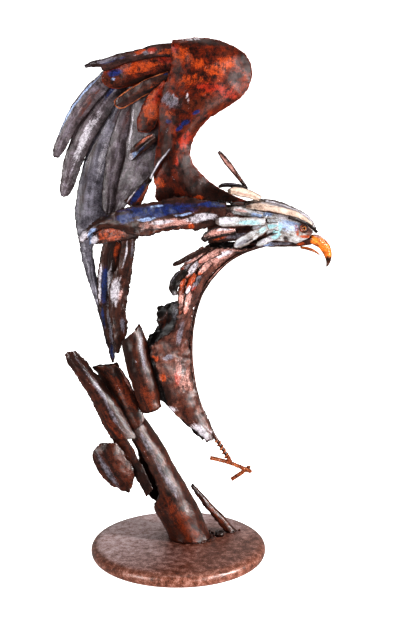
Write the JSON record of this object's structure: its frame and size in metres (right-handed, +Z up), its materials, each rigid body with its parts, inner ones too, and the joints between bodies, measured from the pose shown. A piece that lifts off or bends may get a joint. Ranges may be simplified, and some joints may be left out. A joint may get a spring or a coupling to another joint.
{
  "type": "scrap metal eagle sculpture",
  "caption": "Welded scrap-metal eagle with a raised wing, lunging from a torn pipe stump on a round steel base; painted and lacquered.",
  "frame": {"origin": "centre of the round base's underside", "axes": "+Z up, +X the way the beak points, -Y the side with the painted feathers"},
  "size_m": [0.3845, 0.25, 0.7258],
  "materials": {
    "rusted_steel": "rusted, oiled plate, mottled red-brown",
    "torched_pipe": "torch-cut pipe, brown heat tint under clear lacquer",
    "orange_painted_sheet": "translucent orange-red over brown, gloss lacquer",
    "maroon_painted_sheet": "dark red-brown with pink and white washes, gloss lacquer",
    "bare_silver_sheet": "ground bare steel with violet-grey stain, gloss lacquer",
    "blue_painted_sheet": "ultramarine and white washes over brown, gloss lacquer",
    "white_painted_sheet": "white and pale blue washes over steel, gloss lacquer",
    "blackened_sheet": "blackened brown steel, gloss lacquer",
    "beak_paint": "orange enamel, dark at the tip",
    "eye_enamel": "amber enamel with a black pupil"
  },
  "bodies": {
    "root": {"base_disc": "rusted_steel", "stump_main_pipe": "torched_pipe", "stump_left_gutter": "torched_pipe", "stump_middle_sheet": "torched_pipe", "stump_short_pipe": "torched_pipe", "stump_lobe_plate": "torched_pipe", "stump_strap": "blackened_sheet", "stump_prop_gutter": "torched_pipe", "stump_foot_ring": "blackened_sheet", "breast_edge_rod": "maroon_painted_sheet", "flank_near": "maroon_painted_sheet", "flank_far": "blackened_sheet", "neck_near": "maroon_painted_sheet", "neck_far": "maroon_painted_sheet", "head_near": "white_painted_sheet", "crown_plate_near": "white_painted_sheet", "brow_near": "blackened_sheet", "eye_near": "eye_enamel", "head_far": "white_painted_sheet", "crown_plate_far": "white_painted_sheet", "brow_far": "blackened_sheet", "eye_far": "eye_enamel", "beak_upper": "beak_paint", "beak_lower": "beak_paint", "crest_spike": "blackened_sheet", "crest_dark_feather": "blackened_sheet", "crest_pale_feather": "white_painted_sheet", "nape_feather_near": "white_painted_sheet", "nape_feather_far": "white_painted_sheet", "neck_long_feather_near": "white_painted_sheet", "neck_long_feather_far": "white_painted_sheet", "neck_low_feather_near": "white_painted_sheet", "neck_low_feather_far": "white_painted_sheet", "neck_pink_feather": "orange_painted_sheet", "flank_dark_feather": "blackened_sheet", "flank_oval_feather": "blackened_sheet", "back_strip": "blue_painted_sheet", "wrist_plate": "orange_painted_sheet", "tail_left_plate": "maroon_painted_sheet", "tail_right_plate": "blackened_sheet", "wing_shoulder": "orange_painted_sheet", "wing_top_feather": "maroon_painted_sheet", "wing_upper_covert": "orange_painted_sheet", "wing_rimmed_covert": "blackened_sheet", "wing_lower_covert": "orange_painted_sheet", "wing_small_feather": "blue_painted_sheet", "wing_primary_1": "bare_silver_sheet", "wing_primary_2": "bare_silver_sheet", "wing_primary_3": "bare_silver_sheet", "wing_primary_4": "bare_silver_sheet", "wing_primary_5": "bare_silver_sheet", "wing_brace_feather": "bare_silver_sheet", "wing_brace_strip": "blue_painted_sheet", "claw_toe_bar": "rusted_steel", "claw_cross_bar": "rusted_steel"}
  },
  "joints": []
}
